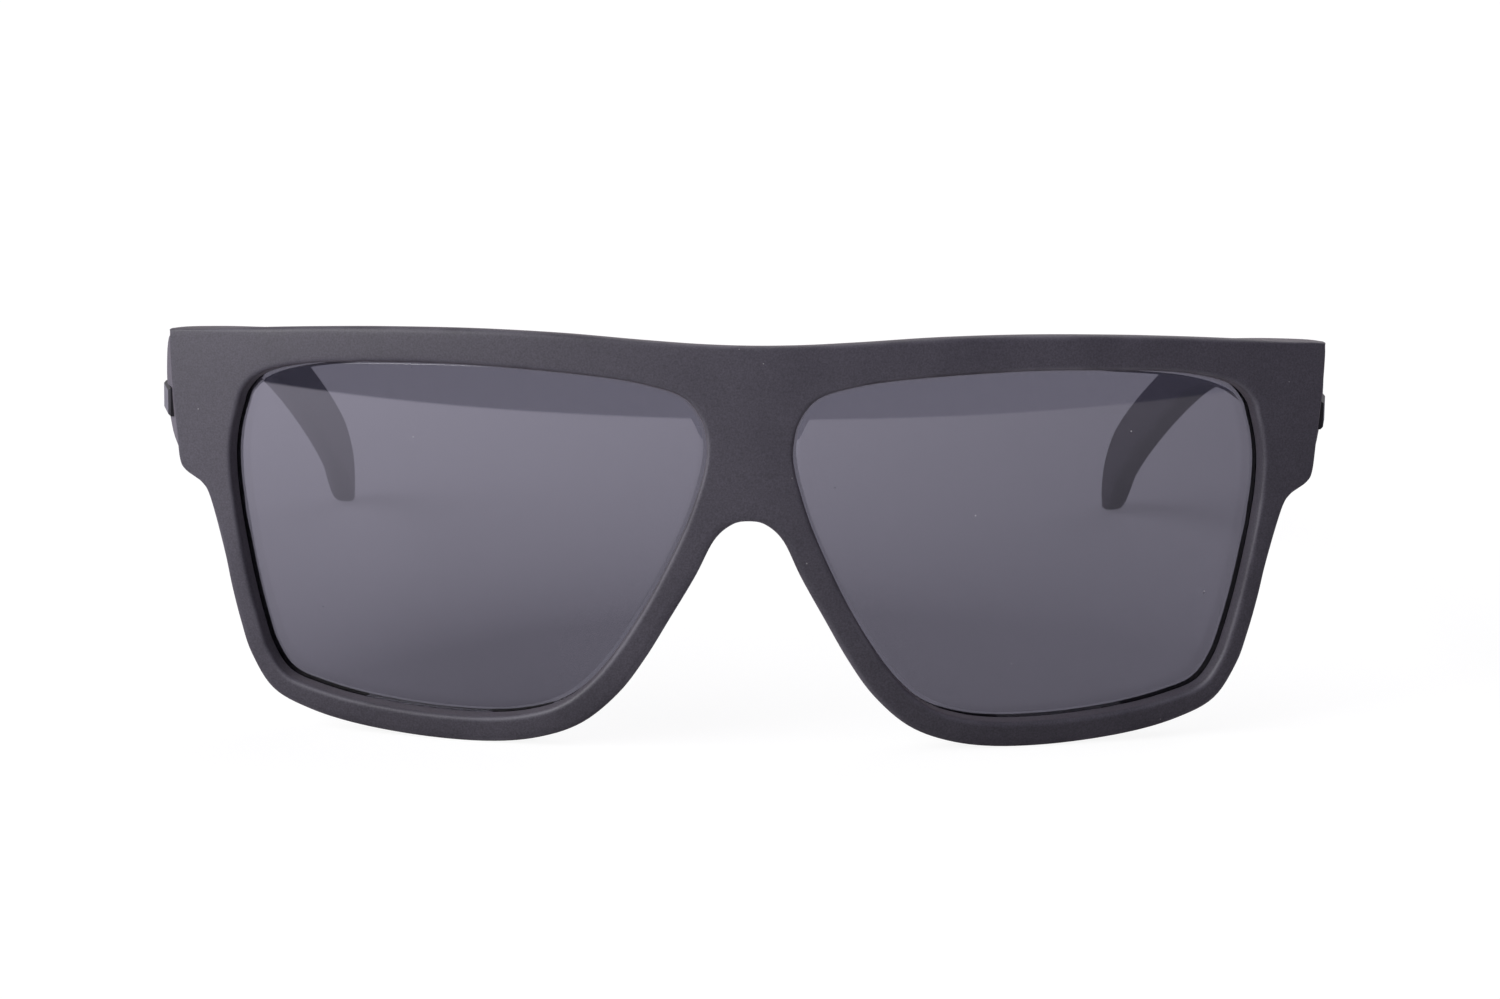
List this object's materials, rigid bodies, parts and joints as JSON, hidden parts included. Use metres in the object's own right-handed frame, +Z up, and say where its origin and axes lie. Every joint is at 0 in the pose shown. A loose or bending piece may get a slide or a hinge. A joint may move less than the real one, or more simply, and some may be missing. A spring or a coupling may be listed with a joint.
{
  "type": "sunglasses",
  "caption": "Flat-top sunglasses with a wrapped moulded front, smoke-tinted lenses and wide tapering temples that fold on riveted screw hinges.",
  "frame": {"origin": "on the surface that the sunglasses stand on, at the middle of their overall width and length", "axes": "+X to the wearer's left, +Y from the front back to the temple tips, +Z up"},
  "size_m": [0.149, 0.1487, 0.0524],
  "materials": {
    "front_plastic": "fine matte, moulded, charcoal grey",
    "temple_plastic": "fine matte, moulded, charcoal grey",
    "tinted_lens": "polished, smoke grey with a violet cast",
    "hinge_steel": "satin, stamped and rolled",
    "hinge_screw_steel": "turned, satin",
    "core_steel": "drawn flat wire",
    "side_plate": "polished, bevelled"
  },
  "bodies": {
    "front": {"front_frame": "front_plastic", "left_lens": "tinted_lens", "left_front_hinge_leaf": "hinge_steel", "left_front_hinge_rivets": "hinge_steel", "left_hinge_screw": "hinge_screw_steel", "right_lens": "tinted_lens", "right_front_hinge_leaf": "hinge_steel", "right_front_hinge_rivets": "hinge_steel", "right_hinge_screw": "hinge_screw_steel"},
    "left_temple_body": {"left_temple": "temple_plastic", "left_temple_hinge_leaf": "hinge_steel", "left_temple_hinge_rivets": "hinge_steel", "left_temple_core_wire": "core_steel", "left_temple_side_plate": "side_plate"},
    "right_temple_body": {"right_temple": "temple_plastic", "right_temple_hinge_leaf": "hinge_steel", "right_temple_hinge_rivets": "hinge_steel", "right_temple_core_wire": "core_steel", "right_temple_side_plate": "side_plate"}
  },
  "joints": [
    {"name": "left_temple_hinge", "type": "hinge", "parent": "front", "child": "left_temple_body", "pos_m": [0.06695, -0.0502, 0.04047], "axis": [0, 0, 1], "range_deg": [0, 86]},
    {"name": "right_temple_hinge", "type": "hinge", "parent": "front", "child": "right_temple_body", "pos_m": [-0.06695, -0.0502, 0.04047], "axis": [0, 0, -1], "range_deg": [0, 81]}
  ]
}
